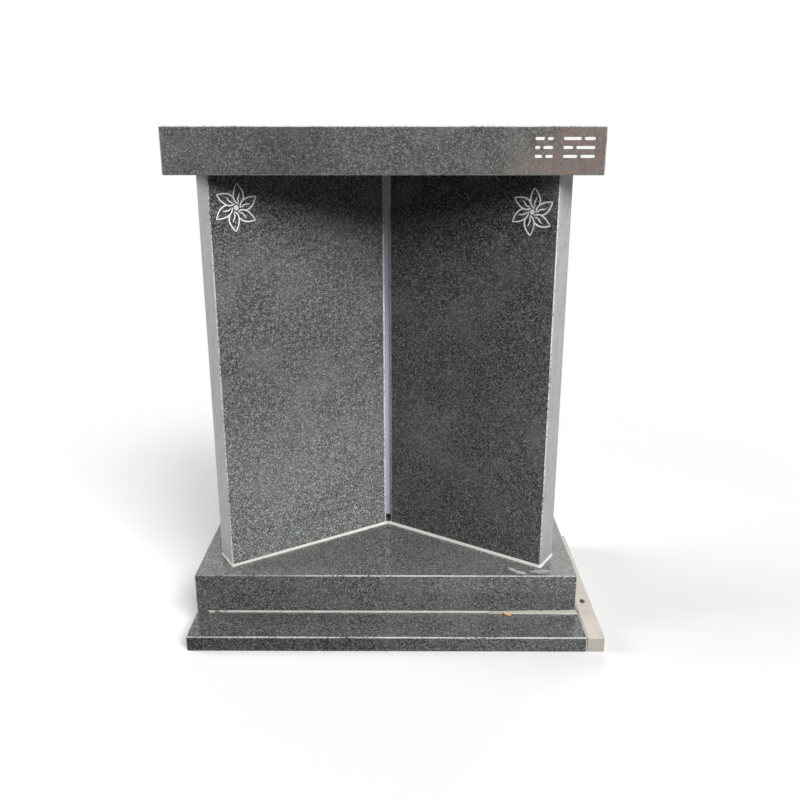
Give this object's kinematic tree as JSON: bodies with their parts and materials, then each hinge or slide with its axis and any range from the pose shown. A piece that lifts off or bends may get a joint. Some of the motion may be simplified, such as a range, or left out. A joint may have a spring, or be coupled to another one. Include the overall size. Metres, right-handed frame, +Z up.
{
  "type": "headstone",
  "caption": "Upright dark granite headstone: two slabs splayed like an open book between a plinth and a lintel, with a carved flower on each slab.",
  "frame": {"origin": "on the flat underside, on the centre line of the plinth, slabs and lintel and midway along the base slab's depth", "axes": "+Z up, -Y out of the carved front, +X to the right seen from the front"},
  "size_m": [1.058, 0.548, 1.274],
  "materials": {
    "granite": "polished",
    "pale_stone": "matte",
    "mortar": "matte",
    "seam_metal": "satin",
    "white_paint": "matte"
  },
  "bodies": {
    "root": {"base_slab": "granite", "edging": "pale_stone", "plinth_bed": "mortar", "plinth": "granite", "left_bed": "mortar", "right_bed": "mortar", "left_slab": "granite", "right_slab": "granite", "seam_strip": "seam_metal", "lintel": "granite"}
  },
  "joints": []
}
